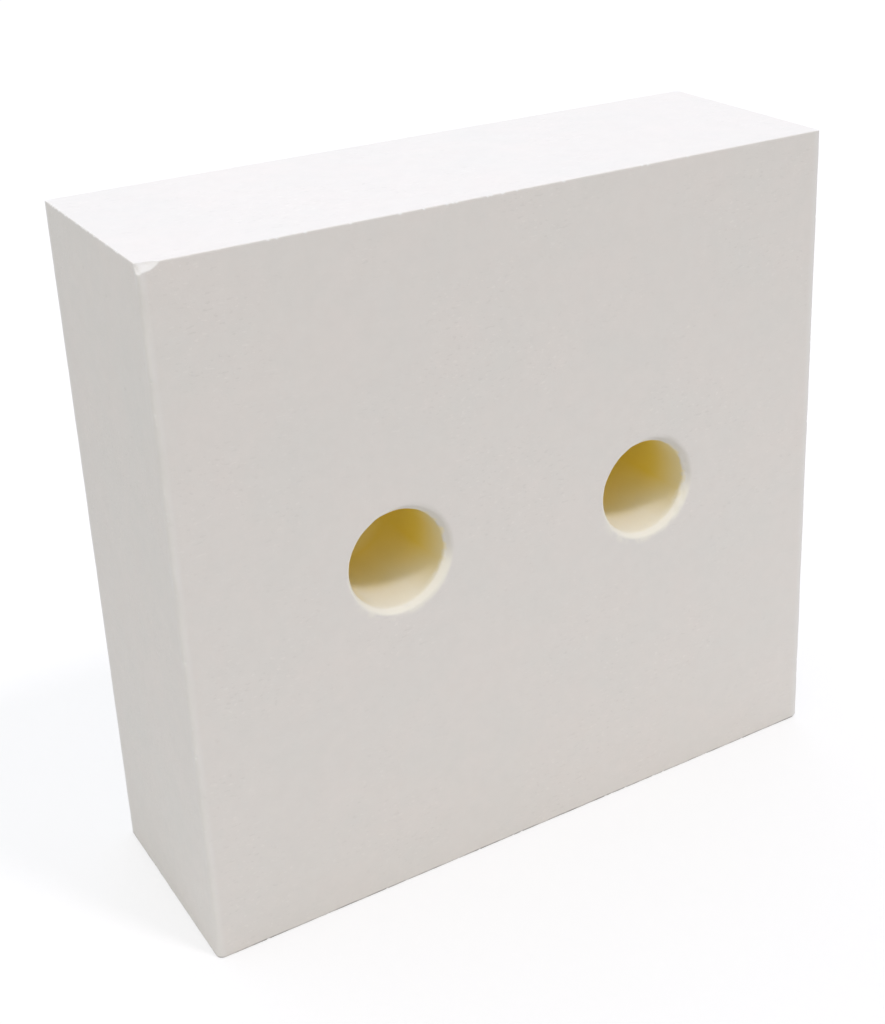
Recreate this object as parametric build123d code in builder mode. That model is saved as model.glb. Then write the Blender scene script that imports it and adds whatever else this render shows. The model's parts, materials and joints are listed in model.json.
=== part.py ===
from build123d import *

import os

# Sizes of the fired block, in millimetres
# It stands on its long narrow face, with the pierced face to the front (-Y).
# The origin is the middle of the face that it stands on.
width = 300.0
depth = 98.0
height = 290.0

# Two round bores run right through the depth, side by side
# They were drilled by hand: their centres are not quite level.
bore_diameter = 42.0
bore_spacing = 119.0
left_bore_height = 151.0
right_bore_height = 148.5

# Rounding of the edges and of the bores' mouths
# All edges are crisp, but for the upright one at the front left: it was rubbed.
upright_edge_radius = 0.8
rubbed_edge_radius = 2.8
level_edge_radius = 0.5
bore_mouth_radius = 2.0

# Flake knocked off the front upper left corner
# It reaches this far along each of the three edges that meet there,
# and its scar is hollowed below the flat through those three points.
flake_along_width = 8.3
flake_along_depth = 4.0
flake_along_height = 2.8
flake_hollow = 1.0

# The scar is part of a ball, which leans outwards from the corner
corner = Vector(-width / 2, -depth / 2, height)
scar_on_width = corner + Vector(flake_along_width, 0, 0)
scar_on_depth = corner + Vector(0, flake_along_depth, 0)
scar_on_height = corner - Vector(0, 0, flake_along_height)
scar_rim = ThreePointArc(scar_on_width, scar_on_depth, scar_on_height)
scar_side = scar_on_depth - scar_on_width
outwards = scar_side.cross(scar_on_height - scar_on_width).normalized()
scar_radius = (scar_rim.radius**2 + flake_hollow**2) / (2 * flake_hollow)
scar_centre = scar_rim.arc_center + outwards * (scar_radius - flake_hollow)

# The block is one piece, raised from its footprint
with BuildPart() as block:
    with BuildSketch(Plane.XY) as footprint:
        Rectangle(width, depth)

        # Its corners become the upright edges, the rubbed one nearest to its place
        rubbed_place = (-width / 2, -depth / 2)
        crisp_corners = footprint.vertices().sort_by_distance(rubbed_place)[1:]
        fillet(crisp_corners, radius=upright_edge_radius)
        rubbed_corner = footprint.vertices().sort_by_distance(rubbed_place)[0]
        fillet(rubbed_corner, radius=rubbed_edge_radius)
    extrude(amount=height)

    # The level edges run on round the upright ones
    level_faces = block.faces().filter_by(Axis.Z)
    fillet(level_faces.edges(), radius=level_edge_radius)

    # Both bores are cut from the front face to the back
    left_bore_place = (-bore_spacing / 2, left_bore_height)
    right_bore_place = (bore_spacing / 2, right_bore_height)
    with BuildSketch(Plane.XZ.offset(depth / 2)):
        with Locations(left_bore_place, right_bore_place):
            Circle(bore_diameter / 2)
    extrude(amount=-depth, mode=Mode.SUBTRACT)

    # Each bore has a rounded mouth in the front face and in the back one
    pierced_faces = block.faces().filter_by(Axis.Y)
    mouths = pierced_faces.edges().filter_by(GeomType.CIRCLE)
    fillet(mouths, radius=bore_mouth_radius)

    # The flake comes off last, through the rounded edges
    with Locations(scar_centre):
        Sphere(scar_radius, mode=Mode.SUBTRACT)

block.part.label = "block"

os.makedirs("parts", exist_ok=True)
export_step(block.part, "parts/block.step")
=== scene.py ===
# %% [markdown]
# # A fired alumina block with two bores
# The object is one block of white alumina, pressed or cast, fired hard, and then
# drilled through twice. It is one piece, with no parts of its own.
# What makes it look real is small: edges of uneven roundness, a flake off one
# corner, crumbs lost along the arrises, a matte skin with short marks in it, and
# bores that turn from white to ivory to ochre as they go in.
# The lesson builds a plain pierced blank, makes its finish from small shader
# groups, and then wears the blank down with one rule in Geometry Nodes.

# %% Load the frame
import json
import math

import bmesh
import bpy
import numpy as np
from mathutils import Matrix, Vector
from mathutils.kdtree import KDTree


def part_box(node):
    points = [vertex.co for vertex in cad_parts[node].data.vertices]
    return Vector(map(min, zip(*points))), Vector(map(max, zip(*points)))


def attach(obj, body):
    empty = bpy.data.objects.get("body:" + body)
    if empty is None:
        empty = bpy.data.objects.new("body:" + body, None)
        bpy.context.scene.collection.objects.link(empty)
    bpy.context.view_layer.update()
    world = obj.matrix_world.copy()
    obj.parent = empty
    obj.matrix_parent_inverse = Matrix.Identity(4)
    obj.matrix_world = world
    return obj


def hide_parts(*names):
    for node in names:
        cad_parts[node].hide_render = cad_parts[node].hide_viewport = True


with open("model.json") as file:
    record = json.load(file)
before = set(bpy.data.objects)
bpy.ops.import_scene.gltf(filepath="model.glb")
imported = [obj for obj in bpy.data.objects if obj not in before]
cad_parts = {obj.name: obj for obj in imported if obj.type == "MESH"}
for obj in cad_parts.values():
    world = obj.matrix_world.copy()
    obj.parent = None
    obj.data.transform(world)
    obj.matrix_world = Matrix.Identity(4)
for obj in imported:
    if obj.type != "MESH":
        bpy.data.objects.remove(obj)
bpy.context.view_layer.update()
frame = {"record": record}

mm = 0.001

# %% [markdown]
# ## Sizes
# Blender works in metres. The block's own sizes come from the frame, so this
# script never disagrees with the solid: its box gives width, depth and height,
# and the two bores are mounts, each with a centre and a radius. The roundness
# of edges and mouths is written here. The mouths were cut with a tool
# that leaned to one side, so their bevel is wider at the right: mouth_shift is
# how much, and in which direction.

# %% Read the block and its bores
low_corner, high_corner = (Vector(corner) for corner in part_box("block"))
half_size = (high_corner - low_corner) / 2
block_middle = (high_corner + low_corner) / 2

mounts = {mount["name"]: mount for mount in frame["record"]["mounts"]}
bore_names = ("left_bore", "right_bore")
bore_centres = [Vector(mounts[name]["pos_m"]) for name in bore_names]
bore_radius = mounts["left_bore"]["dims"]["r_mm"] * mm

upright_radius = 0.8 * mm
rubbed_radius = 2.8 * mm
level_radius = 0.5 * mm
mouth_depth = 2.0 * mm
mouth_width = 1.8 * mm
mouth_shift = Vector((0.75 * mm, 0, -0.15 * mm))
print("half size", half_size, "bores at", bore_centres, "radius", bore_radius)

# %% [markdown]
# ## The camera
# The photo looks down on the block from its left front. A lens of 58 mm, about
# 0.8 m away, gives the same run of the three sets of edges. The picture was
# cropped, so its optical centre is not its middle: the camera's shift allows
# for that.

# %% Place the camera
camera_lens = 58.15
camera_shift = (-0.0826, -0.1314)
camera_eye = Vector((-0.3182, -0.5599, 0.4588))
camera_turn = math.radians(-32.04)
camera_tilt = math.radians(90 - 22.15)
camera_roll = math.radians(-1.56)


def placed(name, data):
    made = bpy.data.objects.new(name, data)
    bpy.context.collection.objects.link(made)
    return made


camera_data = bpy.data.cameras.new("camera")
camera_data.lens = camera_lens
camera_data.shift_x, camera_data.shift_y = camera_shift
camera = placed("camera", camera_data)
turned = Matrix.Rotation(camera_turn, 4, "Z")
tilted = Matrix.Rotation(camera_tilt, 4, "X")
rolled = Matrix.Rotation(camera_roll, 4, "Z")
camera.matrix_world = Matrix.Translation(camera_eye) @ turned @ tilted @ rolled
bpy.context.scene.camera = camera
print("camera stands", round((camera_eye - block_middle).length, 3), "m from the block's middle")

# %% [markdown]
# ## A writer for node trees
# A tree is only nodes and wires. This small class keeps its code readable: it
# adds a node, and for each input it is handed either a plain value, which it
# sets, or another node's output, which it wires in.

# %% Make the node writer
mix_sockets = {"FLOAT": (2, 3, 0), "VECTOR": (4, 5, 1), "RGBA": (6, 7, 2)}


class NodeWriter:
    """Adds nodes to one tree, sets the inputs that are values and wires the others."""

    def __init__(self, tree):
        self.tree = tree

    def feed(self, socket, value):
        if isinstance(value, bpy.types.NodeSocket):
            self.tree.links.new(value, socket)
        else:
            socket.default_value = value

    def add(self, kind, *values, inputs=None, **settings):
        node = self.tree.nodes.new(kind)
        for name, setting in settings.items():
            setattr(node, name, setting)
        for index, value in enumerate(values):
            self.feed(node.inputs[index], value)
        for name, value in (inputs or {}).items():
            self.feed(node.inputs[name], value)
        return node

    def math(self, operation, *values):
        return self.add("ShaderNodeMath", *values, operation=operation).outputs[0]

    def times(self, first, second):
        return self.math("MULTIPLY", first, second)

    def vector(self, operation, *values):
        node = self.add("ShaderNodeVectorMath", *values, operation=operation)
        scalar = operation in ("LENGTH", "DISTANCE", "DOT_PRODUCT")
        return node.outputs["Value" if scalar else "Vector"]

    def scaled(self, vector, scale):
        node = self.add("ShaderNodeVectorMath", vector, operation="SCALE")
        self.feed(node.inputs["Scale"], scale)
        return node.outputs["Vector"]

    def combined(self, x, y, z):
        return self.add("ShaderNodeCombineXYZ", x, y, z).outputs[0]

    def separated(self, vector):
        return self.add("ShaderNodeSeparateXYZ", vector).outputs

    def remap(self, value, start, end, low=0.0, high=1.0, shape="LINEAR"):
        node = self.add("ShaderNodeMapRange", value, start, end, low, high)
        node.interpolation_type = shape
        return node.outputs[0]

    def mixed(self, factor, first, second, kind="RGBA"):
        """What lies between two colours, or between two values or vectors."""
        node = self.add("ShaderNodeMix", factor, data_type=kind)
        first_socket, second_socket, result = mix_sockets[kind]
        self.feed(node.inputs[first_socket], first)
        self.feed(node.inputs[second_socket], second)
        return node.outputs[result]

    def noise(self, place, grain, detail=2.0, roughness=0.5):
        """Soft noise whose blotches are about as wide as the grain."""
        given = isinstance(grain, bpy.types.NodeSocket)
        scale = self.math("DIVIDE", 1.0, grain) if given else 1 / grain
        values = {"Vector": place, "Scale": scale, "Detail": detail, "Roughness": roughness}
        return self.add("ShaderNodeTexNoise", inputs=values).outputs[0]

    def group(self, tree, **values):
        kind = "GeometryNodeGroup" if self.tree.bl_idname == "GeometryNodeTree" else "ShaderNodeGroup"
        node = self.add(kind, node_tree=tree)
        for name, value in values.items():
            self.feed(node.inputs[name.replace("_", " ")], value)
        return node.outputs


def new_tree(name, kind, inputs, outputs):
    """Makes a tree with named sockets, and hands back its writer and its two ends."""
    tree = bpy.data.node_groups.new(name, kind)
    for socket_name, socket_kind, *start in inputs:
        socket = tree.interface.new_socket(socket_name, in_out="INPUT", socket_type=socket_kind)
        if start:
            socket.default_value = start[0]
    for socket_name, socket_kind in outputs:
        tree.interface.new_socket(socket_name, in_out="OUTPUT", socket_type=socket_kind)
    writer = NodeWriter(tree)
    return writer, writer.add("NodeGroupInput").outputs, writer.add("NodeGroupOutput").inputs


NUMBER, VECTOR, COLOUR = "NodeSocketFloat", "NodeSocketVector", "NodeSocketColor"
SHAPE = "NodeSocketGeometry"
print("node writer ready for", NUMBER, VECTOR, COLOUR, SHAPE)

# %% [markdown]
# ## Floor, backdrop and light
# The block stands in a plain white studio: a pale floor that runs back without
# an edge, a soft sky, and one soft lamp high in front on the right.
# The sky is made of three soft lights that fade smoothly away from their own
# direction: one overhead, one behind and a weaker, warmer one at the front left.
# Only the camera sees floor and sky as white. All other rays see a greyer floor,
# brightest in front of the block, as under a real lamp.

# %% Light the sky
scene = bpy.context.scene
scene.view_settings.view_transform = "Standard"

white = (1, 1, 1, 1)
overhead_light = (1.03, 1.08, 1.21)
back_light = (1.00, 1.03, 1.08)
corner_light = (0.60, 0.525, 0.37)

world = bpy.data.worlds.new("studio")
world.use_nodes = True
world.node_tree.nodes.clear()
sky = NodeWriter(world.node_tree)
right, back, up = sky.separated(sky.add("ShaderNodeTexCoord").outputs["Generated"])
near_corner = sky.times(sky.math("ADD", right, back), -math.sqrt(0.5))
light = sky.scaled(overhead_light, sky.times(up, up))
for strength, share in ((back_light, back), (corner_light, near_corner)):
    light = sky.vector("ADD", light, sky.scaled(strength, sky.math("MAXIMUM", share, 0.0)))
seen = sky.add("ShaderNodeLightPath").outputs["Is Camera Ray"]
background = sky.add("ShaderNodeBackground", sky.mixed(seen, light, white), 1.0)
sky.add("ShaderNodeOutputWorld", background.outputs[0])
scene.world = world
print("sky made of", len(world.node_tree.nodes), "nodes")

# %% Lay the floor
floor_reach = 8.0
floor_mesh = bpy.data.meshes.new("floor")
floor_corners = [(-floor_reach, -floor_reach, 0), (floor_reach, -floor_reach, 0)]
floor_corners += [(floor_reach, floor_reach, 0), (-floor_reach, floor_reach, 0)]
floor_mesh.from_pydata(floor_corners, [], [(0, 1, 2, 3)])
floor = placed("floor", floor_mesh)

brightest_place = (0.12, -0.25, 0.0)
near_tone, far_tone = 0.76, 0.50
near_reach, far_reach = 0.05, 0.75
whitened_share = 0.6
paint = bpy.data.materials.new("studio_floor")
paint.use_nodes = True
paint.node_tree.nodes.clear()
coat = NodeWriter(paint.node_tree)
place = coat.add("ShaderNodeTexCoord").outputs["Object"]
away = coat.vector("DISTANCE", place, brightest_place)
bounce = coat.remap(away, near_reach, far_reach, near_tone, far_tone, shape="SMOOTHSTEP")
seen = coat.add("ShaderNodeLightPath").outputs["Is Camera Ray"]
matte = coat.add("ShaderNodeBsdfDiffuse", coat.mixed(seen, bounce, 1.0, kind="FLOAT"))
glow = coat.add("ShaderNodeEmission", white, 1.0)
whitened = coat.times(seen, whitened_share)
seen_floor = coat.add("ShaderNodeMixShader", whitened, matte.outputs[0], glow.outputs[0])
coat.add("ShaderNodeOutputMaterial", seen_floor.outputs[0])
floor_mesh.materials.append(paint)
print("floor reaches", floor_reach, "m each way")

# %% Hang the key lamp
key_height, key_turn = math.radians(58), math.radians(30)
key_data = bpy.data.lights.new("key", "SUN")
key_data.energy = 0.84
key_data.color = (1.0, 0.94, 0.97)
key_data.angle = math.radians(9)
key = placed("key", key_data)
level = math.cos(key_height)
toward_key = Vector((math.sin(key_turn) * level, -math.cos(key_turn) * level, math.sin(key_height)))
key.rotation_euler = toward_key.to_track_quat("Z", "Y").to_euler()
print("key lamp shines from", toward_key)

# %% [markdown]
# ## The blank: a pierced plate of quads
# A mould gives the block its flat faces and a drill its round holes. The mesh
# follows that: one flat sheet of near-square cells with two round holes, pushed
# back through the depth. Round each hole the cells run in rings, from a circle
# out to a square, so that no cell is a sliver.

# %% Choose the lines of the sheet
coarse_cell = 7 * mm
edge_lines = np.array([0, 0.12, 0.28, 0.5, 0.8, 1.2, 1.8, 2.7, 4.2]) * mm
ring_square = 34 * mm
outer_rings = 3
square_cells = 10
square_middle = sum(centre.z for centre in bore_centres) / len(bore_centres)


def spaced(start, end, cell=coarse_cell):
    """Even stations from start to end, about one cell apart."""
    return np.linspace(start, end, max(1, round((end - start) / cell)) + 1)


def joined(*runs):
    """One line of stations from several runs that meet end to end."""
    return np.concatenate([runs[0]] + [run[1:] for run in runs[1:]])


def square_run(middle):
    return np.linspace(middle - ring_square, middle + ring_square, square_cells + 1)


def from_edges(start, end, *middle_runs):
    """Stations that stand close together at both ends, and evenly in between."""
    first, last = start + edge_lines, end - edge_lines[::-1]
    runs = [first]
    here = first[-1]
    for run in middle_runs:
        runs += [spaced(here, run[0]), run]
        here = run[-1]
    return joined(*runs, spaced(here, last[0]), last)


columns = from_edges(low_corner.x, high_corner.x, *[square_run(centre.x) for centre in bore_centres])
rows = from_edges(low_corner.z, high_corner.z, square_run(square_middle))
depths = from_edges(low_corner.y, high_corner.y)
print("sheet has", len(columns) - 1, "columns and", len(rows) - 1, "rows")

# %% Draw the pierced sheet
sheet = bmesh.new()
front = low_corner.y
grid = [[sheet.verts.new((x, front, z)) for z in rows] for x in columns]


def in_ring_square(i, j):
    """Says whether a cell of the sheet lies where the rings go."""
    x = (columns[i] + columns[i + 1]) / 2
    z = (rows[j] + rows[j + 1]) / 2
    near_bore = any(abs(x - centre.x) < ring_square for centre in bore_centres)
    return near_bore and abs(z - square_middle) < ring_square


for i in range(len(columns) - 1):
    for j in range(len(rows) - 1):
        if not in_ring_square(i, j):
            sheet.faces.new((grid[i][j], grid[i + 1][j], grid[i + 1][j + 1], grid[i][j + 1]))
print("sheet without its squares:", len(sheet.faces), "quads")

# %% Lay rings round each bore
def ring_border(centre):
    """The vertices round a bore's square, in order."""
    first = int(np.argmin(abs(columns - (centre.x - ring_square))))
    base = int(np.argmin(abs(rows - (square_middle - ring_square))))
    steps = range(square_cells)
    border = [grid[first + k][base] for k in steps]
    border += [grid[first + square_cells][base + k] for k in steps]
    border += [grid[first + square_cells - k][base + square_cells] for k in steps]
    border += [grid[first][base + square_cells - k] for k in steps]
    return border


def ring_places(centre, border_places):
    """Rings from the border in to the bore, which turn round before they close up."""
    hub = Vector((centre.x, front, centre.z))
    outward = [(place - hub).normalized() for place in border_places]
    last = bore_radius + edge_lines[-1]
    for step in range(1, outer_rings):
        share = step / outer_rings
        yield [place.lerp(hub + way * last, share) for place, way in zip(border_places, outward)]
    for line in edge_lines[::-1]:
        yield [hub + way * (bore_radius + line) for way in outward]


for centre in bore_centres:
    outer = ring_border(centre)
    for places in ring_places(centre, [vert.co.copy() for vert in outer]):
        inner = [sheet.verts.new(place) for place in places]
        for k in range(len(outer)):
            nxt = (k + 1) % len(outer)
            sheet.faces.new((outer[k], outer[nxt], inner[nxt], inner[k]))
        outer = inner
loose = [vert for vert in sheet.verts if not vert.link_faces]
bmesh.ops.delete(sheet, geom=loose, context="VERTS")
print("pierced sheet:", len(sheet.faces), "quads")

# %% Push the sheet back through the depth
rim_edges = [edge for edge in sheet.edges if edge.is_boundary]
copied = bmesh.ops.duplicate(sheet, geom=list(sheet.faces))
back_verts = [part for part in copied["geom"] if isinstance(part, bmesh.types.BMVert)]
bmesh.ops.translate(sheet, verts=back_verts, vec=(0, depths[-1] - depths[0], 0))
for step in np.diff(depths):
    pushed = bmesh.ops.extrude_edge_only(sheet, edges=rim_edges)["geom"]
    rim_edges = [part for part in pushed if isinstance(part, bmesh.types.BMEdge)]
    moved = [part for part in pushed if isinstance(part, bmesh.types.BMVert)]
    bmesh.ops.translate(sheet, verts=moved, vec=(0, step, 0))
bmesh.ops.remove_doubles(sheet, verts=sheet.verts, dist=0.01 * mm)
bmesh.ops.recalc_face_normals(sheet, faces=sheet.faces)
open_edges = [edge for edge in sheet.edges if not edge.is_manifold]
print("blank:", len(sheet.faces), "quads,", len(open_edges), "open edges,",
      round(sheet.calc_volume() * 1e6, 1), "cubic cm")

# %% [markdown]
# ## Where bits are missing
# A brittle fired body doesn't wear smoothly: it loses bits. The largest loss is
# the flake off the front upper left corner, which took a splinter of the arris
# below it along, and the lower right corner has been knocked too. Each scar is
# part of a ball, which is worked out from how far the scar reaches along the
# three edges that meet there and how hollow it is.
# All other losses are small bites: crumbs along the arrises and the bores'
# mouths, and shallow pits in the faces where a grain came out. Each is a small
# ball, kept as a loose vertex that carries its radius. Its centre stands just
# outside the surface, so that pushing vertices away from it never folds them.

# %% Work out the broken corners
def corner_scar(signs, along_width, along_depth, along_height, hollow):
    """Centre and radius of the ball that breaks a corner this far along its edges."""
    corner = block_middle + Vector(signs) * half_size
    ends = []
    for axis, reach in enumerate((along_width, along_depth, along_height)):
        end = corner.copy()
        end[axis] -= signs[axis] * reach
        ends.append(end)
    side, other = ends[1] - ends[0], ends[2] - ends[0]
    normal = side.cross(other)
    toward_rim_centre = side.length_squared * other.cross(normal) + other.length_squared * normal.cross(side)
    rim_centre = ends[0] + toward_rim_centre / (2 * normal.length_squared)
    rim_radius = (ends[0] - rim_centre).length
    radius = (rim_radius ** 2 + hollow ** 2) / (2 * hollow)
    outwards = normal.normalized()
    if outwards.dot(corner - block_middle) < 0:
        outwards.negate()
    return rim_centre + outwards * (radius - hollow), radius


flake_centre, flake_radius = corner_scar(
    (-1, -1, 1), along_width=8.3 * mm, along_depth=2.4 * mm, along_height=2.8 * mm, hollow=0.9 * mm)
knock_centre, knock_radius = corner_scar(
    (1, -1, -1), along_width=2.0 * mm, along_depth=2.0 * mm, along_height=1.3 * mm, hollow=0.3 * mm)

splinter_radius = 5 * mm
splinter_in, splinter_back, splinter_down = 0.6 * mm, 0.7 * mm, 3.3 * mm
splinter_x, splinter_y = low_corner.x + splinter_in, low_corner.y + splinter_back
splinter_place = Vector((splinter_x, splinter_y, high_corner.z - splinter_down))
splinter_way = Vector((-0.50, -0.55, 0.67)).normalized()
splinter_centre = splinter_place + splinter_radius * splinter_way
scars = [(flake_centre, flake_radius), (knock_centre, knock_radius), (splinter_centre, splinter_radius)]
for centre, radius in scars:
    print("scar ball at", [round(v / mm, 2) for v in centre], "radius", round(radius / mm, 2), "mm")

# %% Scatter crumbs along the arrises
rng = np.random.default_rng(23)
bites = []
crumb_radii = (0.35, 0.7)
crumb_outside, rounding_share = 0.5, 0.1
crumb_spacing = 18 * mm
serrated_spacing = 4 * mm
edge_share = 0.88
slant = math.sqrt(0.5)


def bite(place, radius, fresh=1.0):
    """Adds one small bite, unless it would run into another one or into a scar."""
    near = [(other, size) for other, size, _ in bites] + scars
    if all((place - other).length > radius + size for other, size in near):
        bites.append((Vector(place), radius, fresh))


def crumb_off_edge(axis, signs):
    roundness = level_radius
    if axis == 2:
        roundness = rubbed_radius if signs == (-1, -1) else upright_radius
    radius = rng.uniform(*crumb_radii) * mm
    outside = crumb_outside * radius + rounding_share * roundness
    inset = roundness * (1 - slant) - outside * slant
    place = block_middle.copy()
    for other, sign in zip([k for k in range(3) if k != axis], signs):
        place[other] += sign * (half_size[other] - inset)
    place[axis] += rng.uniform(-edge_share, edge_share) * half_size[axis]
    bite(place, radius)


for axis in range(3):
    for signs in ((-1, -1), (-1, 1), (1, -1), (1, 1)):
        serrated = axis == 1 and signs == (-1, 1)
        spacing = serrated_spacing if serrated else crumb_spacing
        for _ in range(round(2 * half_size[axis] / spacing)):
            crumb_off_edge(axis, signs)
print(len(bites), "crumbs off the arrises")

# %% Chip the mouths of the bores
chips_a_mouth = 3
chip_radii = (0.6, 0.9)
chip_outside = 0.75


def chip_mouth(centre, side, angle):
    """A bite off a mouth's bevel: side is the face, and angle runs up from the right."""
    way = Vector((math.cos(angle), 0, math.sin(angle)))
    out = bore_radius + (mouth_width + way.dot(mouth_shift)) / 2
    y = block_middle.y + side * (half_size.y - mouth_depth / 2)
    outwards = (Vector((0, side, 0)) - way).normalized()
    radius = rng.uniform(*chip_radii) * mm
    bite(Vector((centre.x, y, centre.z)) + out * way + chip_outside * radius * outwards, radius)


for centre in bore_centres:
    for side in (-1, 1):
        for _ in range(chips_a_mouth):
            chip_mouth(centre, side, rng.uniform(0, 2 * math.pi))
print(len(bites), "bites with the mouths")

# %% Pit the faces
pit_spacing = 40 * mm
pit_radii = (0.8, 1.4)
pit_outside = 0.88
face_share = 0.96
clear_of_bores = 4 * mm


def pit_face(axis, sign):
    """Scatters shallow pits over one flat face, clear of the bores."""
    others = [k for k in range(3) if k != axis]
    area = 4 * half_size[others[0]] * half_size[others[1]]
    for _ in range(round(area / pit_spacing ** 2)):
        radius = rng.uniform(*pit_radii) * mm
        place = block_middle.copy()
        place[axis] += sign * (half_size[axis] + pit_outside * radius)
        for other in others:
            place[other] += rng.uniform(-face_share, face_share) * half_size[other]
        from_bores = min(math.hypot(place.x - c.x, place.z - c.z) for c in bore_centres)
        if axis != 1 or from_bores > bore_radius + clear_of_bores:
            bite(place, radius, fresh=0.0)


for axis in range(3):
    pit_face(axis, -1)
    pit_face(axis, 1)
print(len(bites), "bites in all")

# %% [markdown]
# ## Finer cells where the shape is fine
# Wear shows only at edges, mouths and bites, so only they need small cells. Any
# line of the mesh that is too long for its place is cut in half. Six rounds take
# the cells from 7 mm in the middle of a face down to about 2 mm at an arris and
# 0.3 mm in the flake's scar.

# %% Refine the blank
edge_cell = 1.6 * mm
mouth_cell = 0.9 * mm
scar_cell = 0.28 * mm
cell_growth = 0.5
bite_cell_share = 0.5
bite_growth = 0.7
overlong = 1.4
mouth_places = [Vector((c.x, side, c.z)) for c in bore_centres for side in (low_corner.y, high_corner.y)]
bite_tree = KDTree(len(bites))
for number, (place, _, _) in enumerate(bites):
    bite_tree.insert(place, number)
bite_tree.balance()


def wanted_length(place):
    """How long an edge may be here: short at arrises, mouths, scars and bites."""
    to_faces = sorted(half_size[k] - abs(place[k] - block_middle[k]) for k in range(3))
    wanted = edge_cell + cell_growth * to_faces[1]
    for mouth in mouth_places:
        out = math.hypot(place.x - mouth.x, place.z - mouth.z) - bore_radius
        wanted = min(wanted, mouth_cell + cell_growth * math.hypot(out, place.y - mouth.y))
    for centre, radius in scars:
        wanted = min(wanted, scar_cell + cell_growth * abs((place - centre).length - radius))
    _, number, distance = bite_tree.find(place)
    radius = bites[number][1]
    return min(wanted, bite_cell_share * radius + bite_growth * max(0.0, distance - radius))


refining_rounds = 6
for _ in range(refining_rounds):
    middles = [(edge, (edge.verts[0].co + edge.verts[1].co) / 2) for edge in sheet.edges]
    cut_edges = [edge for edge, middle in middles if edge.calc_length() > overlong * wanted_length(middle)]
    if cut_edges:
        bmesh.ops.subdivide_edges(sheet, edges=cut_edges, cuts=1, use_grid_fill=True, use_single_edge=True)
    print("blank now has", len(sheet.faces), "faces")

blank_mesh = bpy.data.meshes.new("blank")
sheet.to_mesh(blank_mesh)
sheet.free()
blank = placed("blank", blank_mesh)
print("triangles:", sum(len(face.vertices) - 2 for face in blank_mesh.polygons))

# %% Keep the bites as loose vertices
bites_mesh = bpy.data.meshes.new("bites")
places, radii, freshness = zip(*bites)
bites_mesh.from_pydata(places, [], [])
for name, values in (("bite_radius", radii), ("bite_fresh", freshness)):
    bites_mesh.attributes.new(name, "FLOAT", "POINT").data.foreach_set("value", values)
bites_points = placed("bites", bites_mesh)
print("bites from", round(min(radii) / mm, 2), "to", round(max(radii) / mm, 2), "mm")

# %% [markdown]
# ## The finish: matte white, a little uneven
# Fired alumina is near white, faintly warm, and quite without gloss. Close up it
# is not even: the kiln leaves soft patches a little warmer or cooler, the face
# was struck off sideways and keeps short marks, light and dark, which crowd
# together in places, and there are pin holes where air came out. Each of these
# is a small shader group that reads only the place on the block, so its pattern
# runs on round every edge.

# %% Group: soft patches, short marks and grain in the colour
mark_grain, mark_stretch = 1.2 * mm, (0.45, 1.0, 1.0)
light_marks, dark_marks = (0.64, 0.72), (0.36, 0.28)
crowd_size, crowd_offset = 35 * mm, (0.3, 0.0, 0.0)
skin_grain = 7 * mm


def kiln_skin_group():
    inputs = [("Place", VECTOR), ("Cool", COLOUR), ("Warm", COLOUR)]
    inputs += [("Patch", NUMBER, 45 * mm), ("Depth", NUMBER, 0.045)]
    outputs = [("Colour", COLOUR), ("Marks", NUMBER)]
    tree, given, result = new_tree("kiln_skin", "ShaderNodeTree", inputs, outputs)
    place = given["Place"]
    patches = tree.noise(place, given["Patch"], detail=5.0, roughness=0.72)
    colour = tree.mixed(tree.remap(patches, 0.33, 0.67), given["Cool"], given["Warm"])
    streaked = tree.noise(tree.vector("MULTIPLY", place, mark_stretch), mark_grain, detail=1.0)
    marks = tree.math("SUBTRACT", tree.remap(streaked, *light_marks), tree.remap(streaked, *dark_marks))
    elsewhere = tree.vector("ADD", place, crowd_offset)
    crowded = tree.remap(tree.noise(elsewhere, crowd_size), 0.42, 0.62, 0.15, 1.0)
    marks = tree.times(marks, crowded)
    grain = tree.remap(tree.noise(place, skin_grain, detail=4.0, roughness=0.6), 0.3, 0.7, -0.25, 0.25)
    shade = tree.math("MULTIPLY_ADD", tree.math("ADD", marks, grain), given["Depth"], 1.0)
    tree.feed(result["Colour"], tree.scaled(colour, shade))
    tree.feed(result["Marks"], marks)
    return tree.tree


kiln_skin = kiln_skin_group()
print(kiln_skin.name, "has", len(kiln_skin.nodes), "nodes")

# %% Group: pin holes
hole_stretch = (0.55, 1.0, 1.0)
smallest_hole, hole_spread = 0.4, 0.9
holed_patch = 40 * mm


def pin_holes_group():
    inputs = [("Place", VECTOR), ("Spacing", NUMBER, 5 * mm), ("Size", NUMBER, 0.45 * mm)]
    inputs += [("Share", NUMBER, 0.4)]
    tree, given, result = new_tree("pin_holes", "ShaderNodeTree", inputs, [("Depth", NUMBER)])
    flattened = tree.vector("MULTIPLY", given["Place"], hole_stretch)
    scale = tree.math("DIVIDE", 1.0, given["Spacing"])
    cells = tree.add("ShaderNodeTexVoronoi", inputs={"Vector": flattened, "Scale": scale})
    reach = tree.math("DIVIDE", given["Size"], given["Spacing"])
    picked = tree.separated(cells.outputs["Color"])
    chosen = tree.math("LESS_THAN", picked[0], given["Share"])
    reach = tree.times(reach, tree.math("MULTIPLY_ADD", picked[1], hole_spread, smallest_hole))
    depth = tree.remap(cells.outputs["Distance"], reach, 0.0, shape="SMOOTHSTEP")
    patchy = tree.remap(tree.noise(given["Place"], holed_patch), 0.45, 0.6)
    depth = tree.times(tree.times(depth, chosen), patchy)
    tree.feed(result["Depth"], depth)
    return tree.tree


pin_holes = pin_holes_group()
print(pin_holes.name, "has", len(pin_holes.nodes), "nodes")
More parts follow.
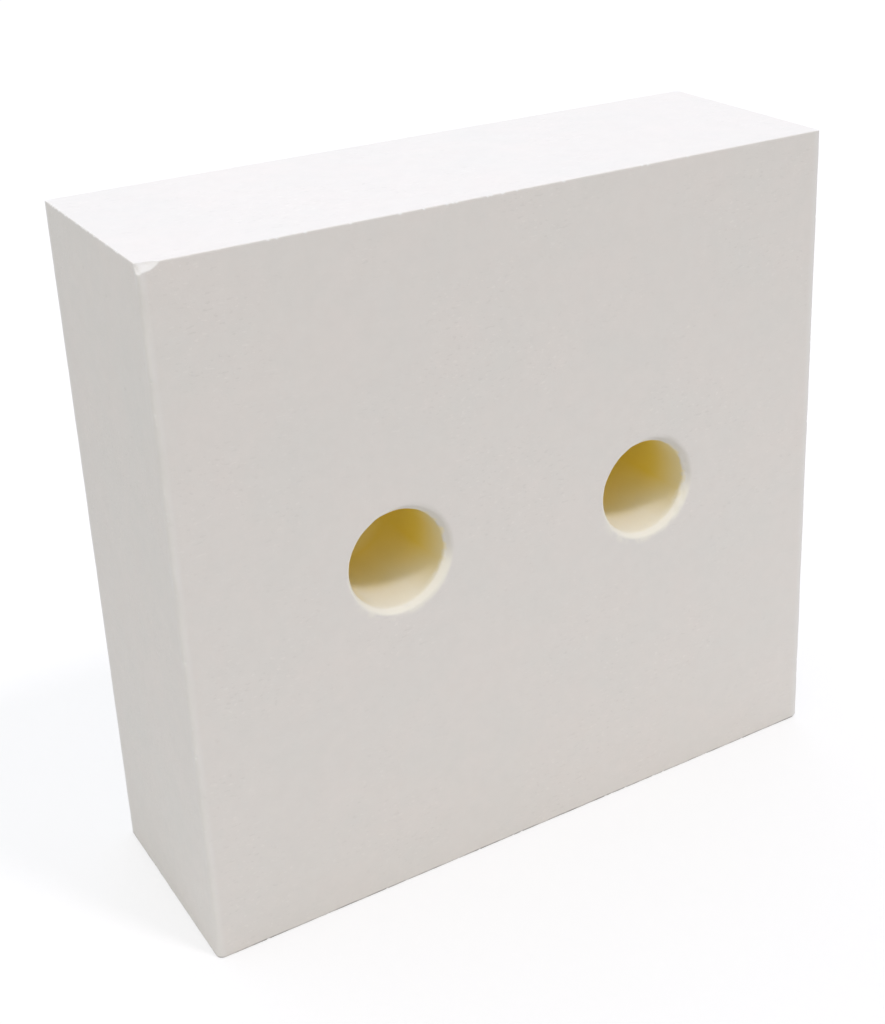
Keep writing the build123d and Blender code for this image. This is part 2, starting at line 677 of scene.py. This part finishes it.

# %% [markdown]
# ## The colour of the bores
# Inside the bores the colour is ivory at the mouth and turns to ochre three
# centimetres in; the ochre is painted shade, in place of the yellow light that
# bounces round the dark depth of the bores. The bevel of each mouth is whiter
# than the face, partly as a fresh cut is and partly as a painted highlight, and
# it has painted shade at the upper right, which faces away from the light. Its
# inner edge is frayed, most of all at the right, so noise moves the depth at
# which the ivory starts. The low wall of each bore is painted paler, as painted
# light where the lamp falls on it, and a painted highlight spreads from the rim
# over the face below.
# All this is a matter of distance: how far a place is from the bore's axis and
# to which side, and how deep it lies behind the nearer face. Only the bevel has
# no such rule, because its edge wavers: the worn mesh carries a value for it,
# named mouth.

# %% Group: tint by depth in a bore
bore_sides = ("Left Bore", "Right Bore")
# The bevel on this side gets painted shade, as it faces away from the light.
shaded_side = (0.77, 0.0, 0.64)
# How far below the rim the painted highlight spreads over the face.
halo_reach, halo_full = 5.5 * mm, 2.2 * mm
frayed_least, frayed_most = -0.8 * mm, 1.2 * mm
lip_end, lip_softness, low_side_softness = 1.1 * mm, 2.4 * mm, 5 * mm
ivory_depth, ochre_depth = 1 * mm, 28 * mm
# Depths over which the low wall is painted paler, as painted light.
lit_low_wall_full_depth, lit_low_wall_end_depth = 15 * mm, 55 * mm
halo_grain, fray_grain = 7 * mm, 3.5 * mm
wall_start, wall_reach = 2.0 * mm, 1.3 * mm


def bore_tint_group():
    inputs = [("Place", VECTOR), ("Colour", COLOUR), ("Mouth", NUMBER)]
    inputs += [(name, VECTOR) for name in bore_sides]
    inputs += [("Bore Radius", NUMBER), ("Half Depth", NUMBER)]
    inputs += [(name, COLOUR) for name in ("Lip", "Shaded Lip", "Ivory", "Ochre", "Dust")]
    tree, given, result = new_tree("bore_tint", "ShaderNodeTree", inputs, [("Colour", COLOUR)])
    place = given["Place"]
    level = []
    for name in bore_sides:
        off = tree.separated(tree.vector("SUBTRACT", place, given[name]))
        level.append(tree.combined(off[0], 0.0, off[2]))
    left_is_nearer = tree.math("LESS_THAN", *[tree.vector("LENGTH", off) for off in level])
    off = tree.mixed(left_is_nearer, level[1], level[0], kind="VECTOR")
    way = tree.vector("NORMALIZE", off)
    low = tree.times(tree.separated(way)[2], -1.0)
    # Painted shade on the bevel at the upper right, the side away from the light.
    shaded = tree.remap(tree.vector("DOT_PRODUCT", way, shaded_side), 0.45, 0.8, shape="SMOOTHSTEP")
    beyond = tree.math("SUBTRACT", tree.vector("LENGTH", off), given["Bore Radius"])
    deep = tree.math("SUBTRACT", given["Half Depth"], tree.math("ABSOLUTE", tree.separated(place)[1]))

    # Painted highlight, patchy: the bevel's white spread over the face below the rim.
    worn = tree.remap(tree.noise(place, halo_grain, detail=3.0), 0.42, 0.58)
    halo = tree.times(worn, tree.remap(low, 0.3, 0.9))
    halo_spread = tree.remap(beyond, halo_reach, halo_full, 0.0, 0.7, shape="SMOOTHSTEP")
    halo = tree.times(halo, halo_spread)
    colour = tree.mixed(halo, given["Colour"], given["Lip"])
    # The lip's white is partly a fresh cut and partly a painted highlight; at the upper right it turns to
    # painted shade.
    lip = tree.mixed(shaded, given["Lip"], given["Shaded Lip"])

    to_right = tree.remap(tree.separated(way)[0], 0.1, 0.8, 0.25, 1.0)
    frays = tree.noise(place, fray_grain, detail=3.0)
    waver = tree.remap(frays, 0.3, 0.7, frayed_least, frayed_most)
    frayed = tree.math("MULTIPLY_ADD", waver, to_right, deep)
    softness = tree.remap(low, 0.0, 0.7, lip_softness, low_side_softness)
    behind_lip = tree.math("DIVIDE", tree.math("SUBTRACT", frayed, lip_end), softness)
    from_lip = tree.remap(behind_lip, 0.0, 1.0, shape="SMOOTHSTEP")
    # Painted shade: the wall turns ochre deeper in, standing in for yellow bounce light.
    turned = tree.remap(deep, ivory_depth, ochre_depth, shape="SMOOTHSTEP")
    wall = tree.mixed(turned, given["Ivory"], given["Ochre"])
    # Painted light: the low wall is paler where the lamp falls on it.
    lit_low_wall = tree.remap(deep, lit_low_wall_end_depth, lit_low_wall_full_depth)
    lit_low_wall = tree.times(tree.remap(low, 0.35, 0.9), lit_low_wall)
    wall = tree.mixed(lit_low_wall, wall, given["Dust"])
    wall = tree.mixed(from_lip, lip, wall)
    inside = tree.remap(frayed, lip_end, wall_start)
    inside = tree.times(inside, tree.math("LESS_THAN", beyond, wall_reach))
    colour = tree.mixed(given["Mouth"], colour, lip)
    tree.feed(result["Colour"], tree.mixed(inside, colour, wall))
    return tree.tree


bore_tint = bore_tint_group()
print(bore_tint.name, "has", len(bore_tint.nodes), "nodes")

# %% [markdown]
# ## Rubbed arrises and a painted shadow at the foot
# Hands and cloths polish the upright arrises a little whiter than the faces, and
# the whiter strip is also a painted highlight that lightens their shading. A thin
# broken line of painted shadow runs along the foot, where the block meets the
# floor. Both masks follow the distance from the block's faces.

# %% Group: rubbed arrises with a painted highlight, and a painted shadow at the foot
# The rubbed strip on the upright arrises is partly wear and partly a painted highlight.
rubbed_and_lit_reach, rubbed_and_lit_full = 4 * mm, 0.4 * mm
# Reach and breaks of the painted shadow along the foot.
foot_shadow_reach, foot_shadow_full = 1.0 * mm, 0.4 * mm
foot_shadow_breaks = 9 * mm


def edge_marks_group():
    inputs = [("Place", VECTOR), ("Middle", VECTOR), ("Half Size", VECTOR)]
    outputs = [("Rubbed", NUMBER), ("Foot Shadow", NUMBER)]
    tree, given, result = new_tree("edge_marks", "ShaderNodeTree", inputs, outputs)
    off = tree.vector("ABSOLUTE", tree.vector("SUBTRACT", given["Place"], given["Middle"]))
    x, y = tree.separated(tree.vector("SUBTRACT", off, given["Half Size"]))[:2]
    near_arris = tree.math("MINIMUM", x, y)
    # Partly wear, partly a painted highlight along the upright arrises.
    rubbed_and_lit = tree.remap(near_arris, -rubbed_and_lit_reach, -rubbed_and_lit_full, shape="SMOOTHSTEP")
    tree.feed(result["Rubbed"], rubbed_and_lit)
    # Painted shadow: a thin broken dark line along the foot.
    height = tree.separated(given["Place"])[2]
    broken = tree.remap(tree.noise(given["Place"], foot_shadow_breaks, detail=3.0), 0.35, 0.6, 0.25, 1.0)
    tree.feed(result["Foot Shadow"], tree.times(tree.remap(height, foot_shadow_reach, foot_shadow_full), broken))
    return tree.tree


edge_marks = edge_marks_group()
print(edge_marks.name, "has", len(edge_marks.nodes), "nodes")

# %% [markdown]
# ## The material
# One material dresses the whole block, because it is one body. It lays the
# groups over each other in turn: the fired skin, its pin holes and pits with
# painted shade in them, the rubbed arrises with a painted highlight, a painted
# shadow along the foot, the fresh breaks and the bores. Height goes through one
# Bump node, and only for what is too fine to be in the mesh.

# %% Choose the colours and the strength of each mark
cool_white, warm_white = (0.862, 0.852, 0.826, 1), (0.886, 0.858, 0.830, 1)
# The rubbed white is partly wear and partly a painted highlight.
rubbed_and_lit_white, fresh_white = (0.922, 0.922, 0.91, 1), (0.94, 0.94, 0.93, 1)
# Of the bore colours, the lip's white is partly a painted highlight, the shaded lip is painted shade, the
# pale low-wall colour is painted light, and the ochre stands in for yellow light in shade.
bore_colours = {
    "Lip": (0.99, 0.978, 0.89, 1),
    "Shaded_Lip": (0.80, 0.785, 0.75, 1),
    "Ivory": (0.88, 0.79, 0.50, 1),
    "Ochre": (0.96, 0.77, 0.155, 1),
    "Dust": (0.98, 0.962, 0.87, 1),
}
# Painted shade in the pin holes and pits, and a painted shadow along the foot.
hole_painted_shade, pit_painted_shade, foot_painted_shadow = 0.12, 0.02, 0.6
# How much of the rubbed white, partly a painted highlight, goes on.
rubbed_and_lit_share = 0.8
grain_height, swell_height, mark_height, hole_depth = 0.05 * mm, 0.12 * mm, 0.03 * mm, 0.22 * mm
bump_grain, bump_swell = 0.55 * mm, 5 * mm
print("white from", cool_white[:3], "to", warm_white[:3])

# %% Material: fired alumina
def fired_alumina():
    material = bpy.data.materials.new("fired_alumina")
    material.use_nodes = True
    material.node_tree.nodes.clear()
    tree = NodeWriter(material.node_tree)
    place = tree.add("ShaderNodeTexCoord").outputs["Object"]

    def carried(name):
        """A value that the worn mesh carries under this name."""
        return tree.add("ShaderNodeAttribute", attribute_name=name).outputs["Fac"]

    def darkened(colour, mask, share):
        return tree.scaled(colour, tree.math("MULTIPLY_ADD", mask, -share, 1.0))

    fired = tree.group(kiln_skin, Place=place, Cool=cool_white, Warm=warm_white)
    holes = tree.group(pin_holes, Place=place)[0]
    # Painted shade in the pin holes and pits.
    skin = darkened(fired["Colour"], holes, hole_painted_shade)
    skin = darkened(skin, carried("pitted"), pit_painted_shade)
    marks = tree.group(edge_marks, Place=place, Middle=block_middle, Half_Size=half_size)
    # The rubbed arrises: partly wear, partly a painted highlight.
    skin = tree.mixed(tree.times(marks["Rubbed"], rubbed_and_lit_share), skin, rubbed_and_lit_white)
    # Painted shadow along the foot.
    skin = darkened(skin, marks["Foot Shadow"], foot_painted_shadow)
    skin = tree.mixed(carried("fresh_break"), skin, fresh_white)
    tint = tree.group(bore_tint, Place=place, Colour=skin, Mouth=carried("mouth"),
                      Left_Bore=bore_centres[0], Right_Bore=bore_centres[1],
                      Bore_Radius=bore_radius, Half_Depth=half_size.y, **bore_colours)

    grain = tree.noise(place, bump_grain, detail=4.0, roughness=0.65)
    swell = tree.noise(place, bump_swell, detail=2.0)
    height = tree.times(swell, swell_height / mm)
    height = tree.math("MULTIPLY_ADD", grain, grain_height / mm, height)
    height = tree.math("MULTIPLY_ADD", holes, -hole_depth / mm, height)
    height = tree.math("MULTIPLY_ADD", fired["Marks"], mark_height / mm, height)
    bump = tree.add("ShaderNodeBump", inputs={"Height": height, "Distance": mm})
    roughness = tree.remap(grain, 0.2, 0.8, 0.82, 0.95)
    look = {"Base Color": tint["Colour"], "Roughness": roughness, "Normal": bump.outputs[0], "IOR": 1.45}
    shader = tree.add("ShaderNodeBsdfPrincipled", inputs=look)
    tree.add("ShaderNodeOutputMaterial", shader.outputs[0])
    return material


alumina = fired_alumina()
print(alumina.name, "has", len(alumina.node_tree.nodes), "nodes")

# %% [markdown]
# ## One rule for the worn shape
# A distance function says, for any place, how far it is outside the finished
# surface, or inside it when it is negative. Flat faces are the simplest: the
# distance past a face. Two faces meet in a rounded edge by one small formula. A
# hole or a bite is the same idea turned inside out, and each mouth is a cone.
# Surfaces that don't meet squarely are joined by a smooth maximum instead, and
# noise makes the radii uneven and the mouths waver.
# The blank's vertices slide along the slope of this function until the distance
# is nought: first onto the rounded block, then into the bites, and last into the
# splinter, which cuts through the flake's scar. Each stage starts from a smooth
# surface, so no vertex overtakes another.

# %% Group: the rounded corner of two surfaces
def rounded_corner_group():
    inputs = [("First", NUMBER), ("Second", NUMBER), ("Radius", NUMBER)]
    tree, given, result = new_tree("rounded_corner", "GeometryNodeTree", inputs, [("Distance", NUMBER)])
    larger = tree.math("MAXIMUM", given["First"], given["Second"])
    inside = tree.math("MINIMUM", larger, tree.times(given["Radius"], -1.0))
    first = tree.math("MAXIMUM", tree.math("ADD", given["First"], given["Radius"]), 0.0)
    second = tree.math("MAXIMUM", tree.math("ADD", given["Second"], given["Radius"]), 0.0)
    outside = tree.vector("LENGTH", tree.combined(first, second, 0.0))
    tree.feed(result["Distance"], tree.math("ADD", inside, outside))
    return tree.tree


rounded_corner = rounded_corner_group()
print("made", rounded_corner.name)

# %% List the sizes that the rule needs
block_sizes = {
    "Middle": block_middle,
    "Half Size": half_size,
    "Upright Radius": upright_radius,
    "Rubbed Radius": rubbed_radius,
    "Level Radius": level_radius,
    "Left Bore": bore_centres[0],
    "Right Bore": bore_centres[1],
    "Bore Radius": bore_radius,
    "Mouth Depth": mouth_depth,
    "Mouth Width": mouth_width,
    "Mouth Shift": mouth_shift,
    "Mouth Softness": 0.6 * mm,
    "Flake Centre": flake_centre,
    "Flake Radius": flake_radius,
    "Knock Centre": knock_centre,
    "Knock Radius": knock_radius,
    "Splinter Centre": splinter_centre,
    "Splinter Radius": splinter_radius,
    "Unevenness": 0.3,
    "Roughness": 0.3 * mm,
}
face_sizes = ("Middle", "Half Size", "Upright Radius", "Rubbed Radius", "Level Radius", "Unevenness")
mouth_sizes = ("Bore Radius", "Mouth Depth", "Mouth Width", "Mouth Shift", "Mouth Softness")


def size_inputs(names):
    """The inputs of a tree that is handed these sizes, each a vector or a number."""
    return [(name, VECTOR if isinstance(block_sizes[name], Vector) else NUMBER) for name in names]


def handed_on(given, names):
    """The same sizes, ready for a group that asks for them."""
    return {name.replace(" ", "_"): given[name] for name in names}


print("the rule reads", len(block_sizes), "sizes")

# %% Group: the faces and their rounded edges
upright_waver, level_waver = 18 * mm, 5 * mm
sharper_below, sharpest_below, sharpest_share = 16 * mm, 2 * mm, 0.4


def block_faces_group():
    inputs = [("Place", VECTOR)] + size_inputs(face_sizes)
    outputs = [("Distance", NUMBER), ("Past Face", NUMBER)]
    tree, given, result = new_tree("block_faces", "GeometryNodeTree", inputs, outputs)
    place = given["Place"]

    def uneven(radius, grain):
        low = tree.math("SUBTRACT", 1.0, given["Unevenness"])
        high = tree.math("ADD", 1.0, given["Unevenness"])
        return tree.times(radius, tree.remap(tree.noise(place, grain), 0.3, 0.7, low, high))

    off = tree.vector("SUBTRACT", place, given["Middle"])
    x, y, z = tree.separated(off)
    at_rubbed = tree.times(tree.math("LESS_THAN", x, 0.0), tree.math("LESS_THAN", y, 0.0))
    roundness = tree.mixed(at_rubbed, given["Upright Radius"], given["Rubbed Radius"], kind="FLOAT")
    past_top = tree.math("SUBTRACT", z, tree.separated(given["Half Size"])[2])
    sharper = tree.remap(past_top, -sharper_below, -sharpest_below, 1.0, sharpest_share)
    radius = tree.times(roundness, sharper)
    radius = tree.math("MAXIMUM", radius, given["Upright Radius"])

    past = tree.vector("SUBTRACT", tree.vector("ABSOLUTE", off), given["Half Size"])
    x, y, z = tree.separated(past)
    upright_edge = uneven(radius, upright_waver)
    walls = tree.group(rounded_corner, First=x, Second=y, Radius=upright_edge)[0]
    level_edge = uneven(given["Level Radius"], level_waver)
    surface = tree.group(rounded_corner, First=walls, Second=z, Radius=level_edge)[0]
    tree.feed(result["Distance"], surface)
    tree.feed(result["Past Face"], y)
    return tree.tree


block_faces = block_faces_group()
print(block_faces.name, "has", len(block_faces.nodes), "nodes")

# %% Group: a bore and its bevelled mouth
mouth_waver = 5 * mm
calm = 0.2 * mm
ragged_from, ragged_to = 5 * mm, 18 * mm
mouth_mask = (-0.6 * mm, -0.15 * mm)


def bore_and_mouth_group():
    """Cuts one bore out of a surface, with a cone at its mouth that wavers at the right."""
    inputs = [("Place", VECTOR), ("Surface", NUMBER), ("Past Face", NUMBER)]
    inputs += [("Centre", VECTOR), ("Ragged", NUMBER)] + size_inputs(mouth_sizes)
    outputs = [("Distance", NUMBER), ("Mouth", NUMBER)]
    tree, given, result = new_tree("bore_and_mouth", "GeometryNodeTree", inputs, outputs)
    place = given["Place"]
    off = tree.separated(tree.vector("SUBTRACT", place, given["Centre"]))
    level = tree.combined(off[0], 0.0, off[2])
    hole = tree.math("SUBTRACT", given["Bore Radius"], tree.vector("LENGTH", level))

    shift = tree.vector("DOT_PRODUCT", tree.vector("NORMALIZE", level), given["Mouth Shift"])
    flat = tree.math("DIVIDE", 1.0, tree.math("ADD", given["Mouth Width"], shift))
    steep = tree.math("DIVIDE", 1.0, given["Mouth Depth"])
    cone = tree.math("MULTIPLY_ADD", hole, flat, 1.0)
    cone = tree.math("MULTIPLY_ADD", given["Past Face"], steep, cone)
    cone = tree.math("DIVIDE", cone, tree.vector("LENGTH", tree.combined(steep, flat, 0.0)))
    waves = tree.remap(tree.noise(place, mouth_waver, detail=1.0), 0.3, 0.7, -0.5, 0.5)
    ragged = tree.remap(off[0], ragged_from, ragged_to, calm, given["Ragged"])
    cone = tree.math("ADD", cone, tree.times(waves, ragged))

    surface = tree.math("MAXIMUM", given["Surface"], hole)
    surface = tree.math("SMOOTH_MAX", surface, cone, given["Mouth Softness"])
    tree.feed(result["Distance"], surface)
    tree.feed(result["Mouth"], tree.remap(cone, *mouth_mask))
    return tree.tree


bore_and_mouth = bore_and_mouth_group()
print(bore_and_mouth.name, "has", len(bore_and_mouth.nodes), "nodes")

# %% Group: how far a place is from the worn surface
raggedness = {"Left Bore": calm, "Right Bore": 0.9 * mm}
scar_names = ("Flake", "Knock", "Splinter")
scar_grain = 1.6 * mm
scar_softness = 0.2 * mm
scar_mask = (-0.35 * mm, -0.05 * mm)
held_off = 20 * mm


def worn_surface_group():
    inputs = [("Place", VECTOR), ("Bites", SHAPE), ("Stage", NUMBER)]
    inputs += size_inputs(block_sizes)
    outputs = [("Distance", NUMBER), ("Fresh", NUMBER), ("Pitted", NUMBER), ("Mouth", NUMBER)]
    tree, given, result = new_tree("worn_surface", "GeometryNodeTree", inputs, outputs)
    place = given["Place"]

    faces = tree.group(block_faces, Place=place, **handed_on(given, face_sizes))
    surface = faces["Distance"]
    mouths = []
    for name, ragged in raggedness.items():
        bored = tree.group(bore_and_mouth, Place=place, Surface=surface, Past_Face=faces["Past Face"],
                           Centre=given[name], Ragged=ragged, **handed_on(given, mouth_sizes))
        surface = bored["Distance"]
        mouths.append(bored["Mouth"])

    rough = tree.math("SUBTRACT", tree.noise(place, scar_grain), 0.5)
    rough = tree.times(rough, given["Roughness"])

    def ball(centre, radius):
        """How deep a place lies in a ball, with the grain of a break on it."""
        inside = tree.math("SUBTRACT", radius, tree.vector("DISTANCE", place, centre))
        return tree.math("ADD", inside, rough)

    nearest = tree.add("GeometryNodeSampleNearest", given["Bites"], place, domain="POINT").outputs[0]

    def sampled(field, kind):
        """What the bite nearest to the place has."""
        return tree.add("GeometryNodeSampleIndex", given["Bites"], field, nearest, data_type=kind).outputs[0]

    def carried(name):
        field = tree.add("GeometryNodeInputNamedAttribute", name, data_type="FLOAT").outputs[0]
        return sampled(field, "FLOAT")

    spot = tree.add("GeometryNodeInputPosition").outputs[0]
    small = ball(sampled(spot, "FLOAT_VECTOR"), carried("bite_radius"))
    scar_balls = [ball(given[name + " Centre"], given[name + " Radius"]) for name in scar_names]
    flake_or_knock = tree.math("MAXIMUM", *scar_balls[:2])
    splinter = scar_balls[2]
    for stage, bitten in ((1.0, tree.math("MAXIMUM", small, flake_or_knock)), (2.0, splinter)):
        left_over = tree.math("MAXIMUM", tree.math("SUBTRACT", stage, given["Stage"]), 0.0)
        bitten = tree.math("MULTIPLY_ADD", left_over, -held_off, bitten)
        surface = tree.math("SMOOTH_MAX", surface, bitten, scar_softness)
    tree.feed(result["Distance"], surface)

    shown = tree.remap(small, *scar_mask)
    broken = tree.remap(tree.math("MAXIMUM", flake_or_knock, splinter), *scar_mask)
    fresh = carried("bite_fresh")
    tree.feed(result["Fresh"], tree.math("MAXIMUM", broken, tree.times(shown, fresh)))
    tree.feed(result["Pitted"], tree.times(shown, tree.math("SUBTRACT", 1.0, fresh)))
    tree.feed(result["Mouth"], tree.math("MAXIMUM", *mouths))
    return tree.tree


worn_surface = worn_surface_group()
print(worn_surface.name, "has", len(worn_surface.nodes), "nodes")

# %% Tree: slide the blank onto the worn surface
slope_step = 0.04 * mm
stages, slides_a_stage = 3, 4
last_stage = stages - 1.0


def wear_tree(finish):
    inputs = [("Blank", SHAPE), ("Bites", "NodeSocketObject"), ("Slides", "NodeSocketInt")]
    inputs += size_inputs(block_sizes)
    tree, given, result = new_tree("wear_the_block", "GeometryNodeTree", inputs, [("Worn Block", SHAPE)])
    bites = tree.add("GeometryNodeObjectInfo", given["Bites"]).outputs["Geometry"]

    def measured(place, stage, **changed):
        """The worn surface at a place, with all sizes as given but for the changed ones."""
        sizes = {**handed_on(given, block_sizes), **changed}
        return tree.group(worn_surface, Place=place, Bites=bites, Stage=stage, **sizes)

    start = tree.add("GeometryNodeRepeatInput")
    end = tree.add("GeometryNodeRepeatOutput")
    start.pair_with_output(end)
    tree.feed(start.inputs["Iterations"], given["Slides"])
    tree.feed(start.inputs["Geometry"], given["Blank"])
    place = tree.add("GeometryNodeInputPosition").outputs[0]
    stage = tree.math("FLOOR", tree.math("DIVIDE", start.outputs["Iteration"], slides_a_stage))
    here = measured(place, stage, Roughness=0.0)["Distance"]
    rises = []
    for axis in range(3):
        nudge = [0.0, 0.0, 0.0]
        nudge[axis] = slope_step
        there = measured(tree.vector("ADD", place, nudge), stage, Roughness=0.0)["Distance"]
        rises.append(tree.math("SUBTRACT", there, here))
    slope = tree.vector("NORMALIZE", tree.combined(*rises))
    slide = tree.scaled(slope, tree.times(measured(place, stage)["Distance"], -1.0))
    moved = tree.add("GeometryNodeSetPosition", start.outputs["Geometry"])
    tree.feed(moved.inputs["Offset"], slide)
    tree.feed(end.inputs["Geometry"], moved.outputs[0])

    lowest = tree.vector("SUBTRACT", given["Middle"], given["Half Size"])
    highest = tree.vector("ADD", given["Middle"], given["Half Size"])
    boxed = tree.vector("MINIMUM", tree.vector("MAXIMUM", place, lowest), highest)
    marked = tree.add("GeometryNodeSetPosition", end.outputs["Geometry"], inputs={"Position": boxed})
    marks = measured(place, last_stage)
    for name, mark in (("fresh_break", "Fresh"), ("pitted", "Pitted"), ("mouth", "Mouth")):
        values = {"Name": name, "Value": marks[mark]}
        marked = tree.add("GeometryNodeStoreNamedAttribute", marked.outputs[0], inputs=values)
    smooth = tree.add("GeometryNodeSetShadeSmooth", marked.outputs[0])
    real = tree.add("GeometryNodeRealizeInstances", smooth.outputs[0])
    dressed = tree.add("GeometryNodeSetMaterial", real.outputs[0])
    tree.feed(dressed.inputs["Material"], finish)
    tree.feed(result["Worn Block"], dressed.outputs[0])
    return tree.tree


wear = wear_tree(alumina)
print(wear.name, "has", len(wear.nodes), "nodes")

# %% Wear the blank down
modifier = blank.modifiers.new("wear", "NODES")
modifier.node_group = wear
sockets = {item.name: item.identifier for item in wear.interface.items_tree if item.item_type == "SOCKET"}
modifier[sockets["Bites"]] = bites_points
modifier[sockets["Slides"]] = stages * slides_a_stage
for name, value in block_sizes.items():
    modifier[sockets[name]] = value
worn = blank.evaluated_get(bpy.context.evaluated_depsgraph_get())
block_mesh = bpy.data.meshes.new_from_object(worn)
block_mesh.name = "alumina_block"
block = placed("alumina_block", block_mesh)
bpy.data.objects.remove(blank)
bpy.data.objects.remove(bites_points)
print("worn block:", len(block_mesh.vertices), "vertices,", len(block_mesh.polygons), "faces")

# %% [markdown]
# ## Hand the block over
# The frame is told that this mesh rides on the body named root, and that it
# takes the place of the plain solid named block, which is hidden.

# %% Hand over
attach(block, "root")
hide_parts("block")
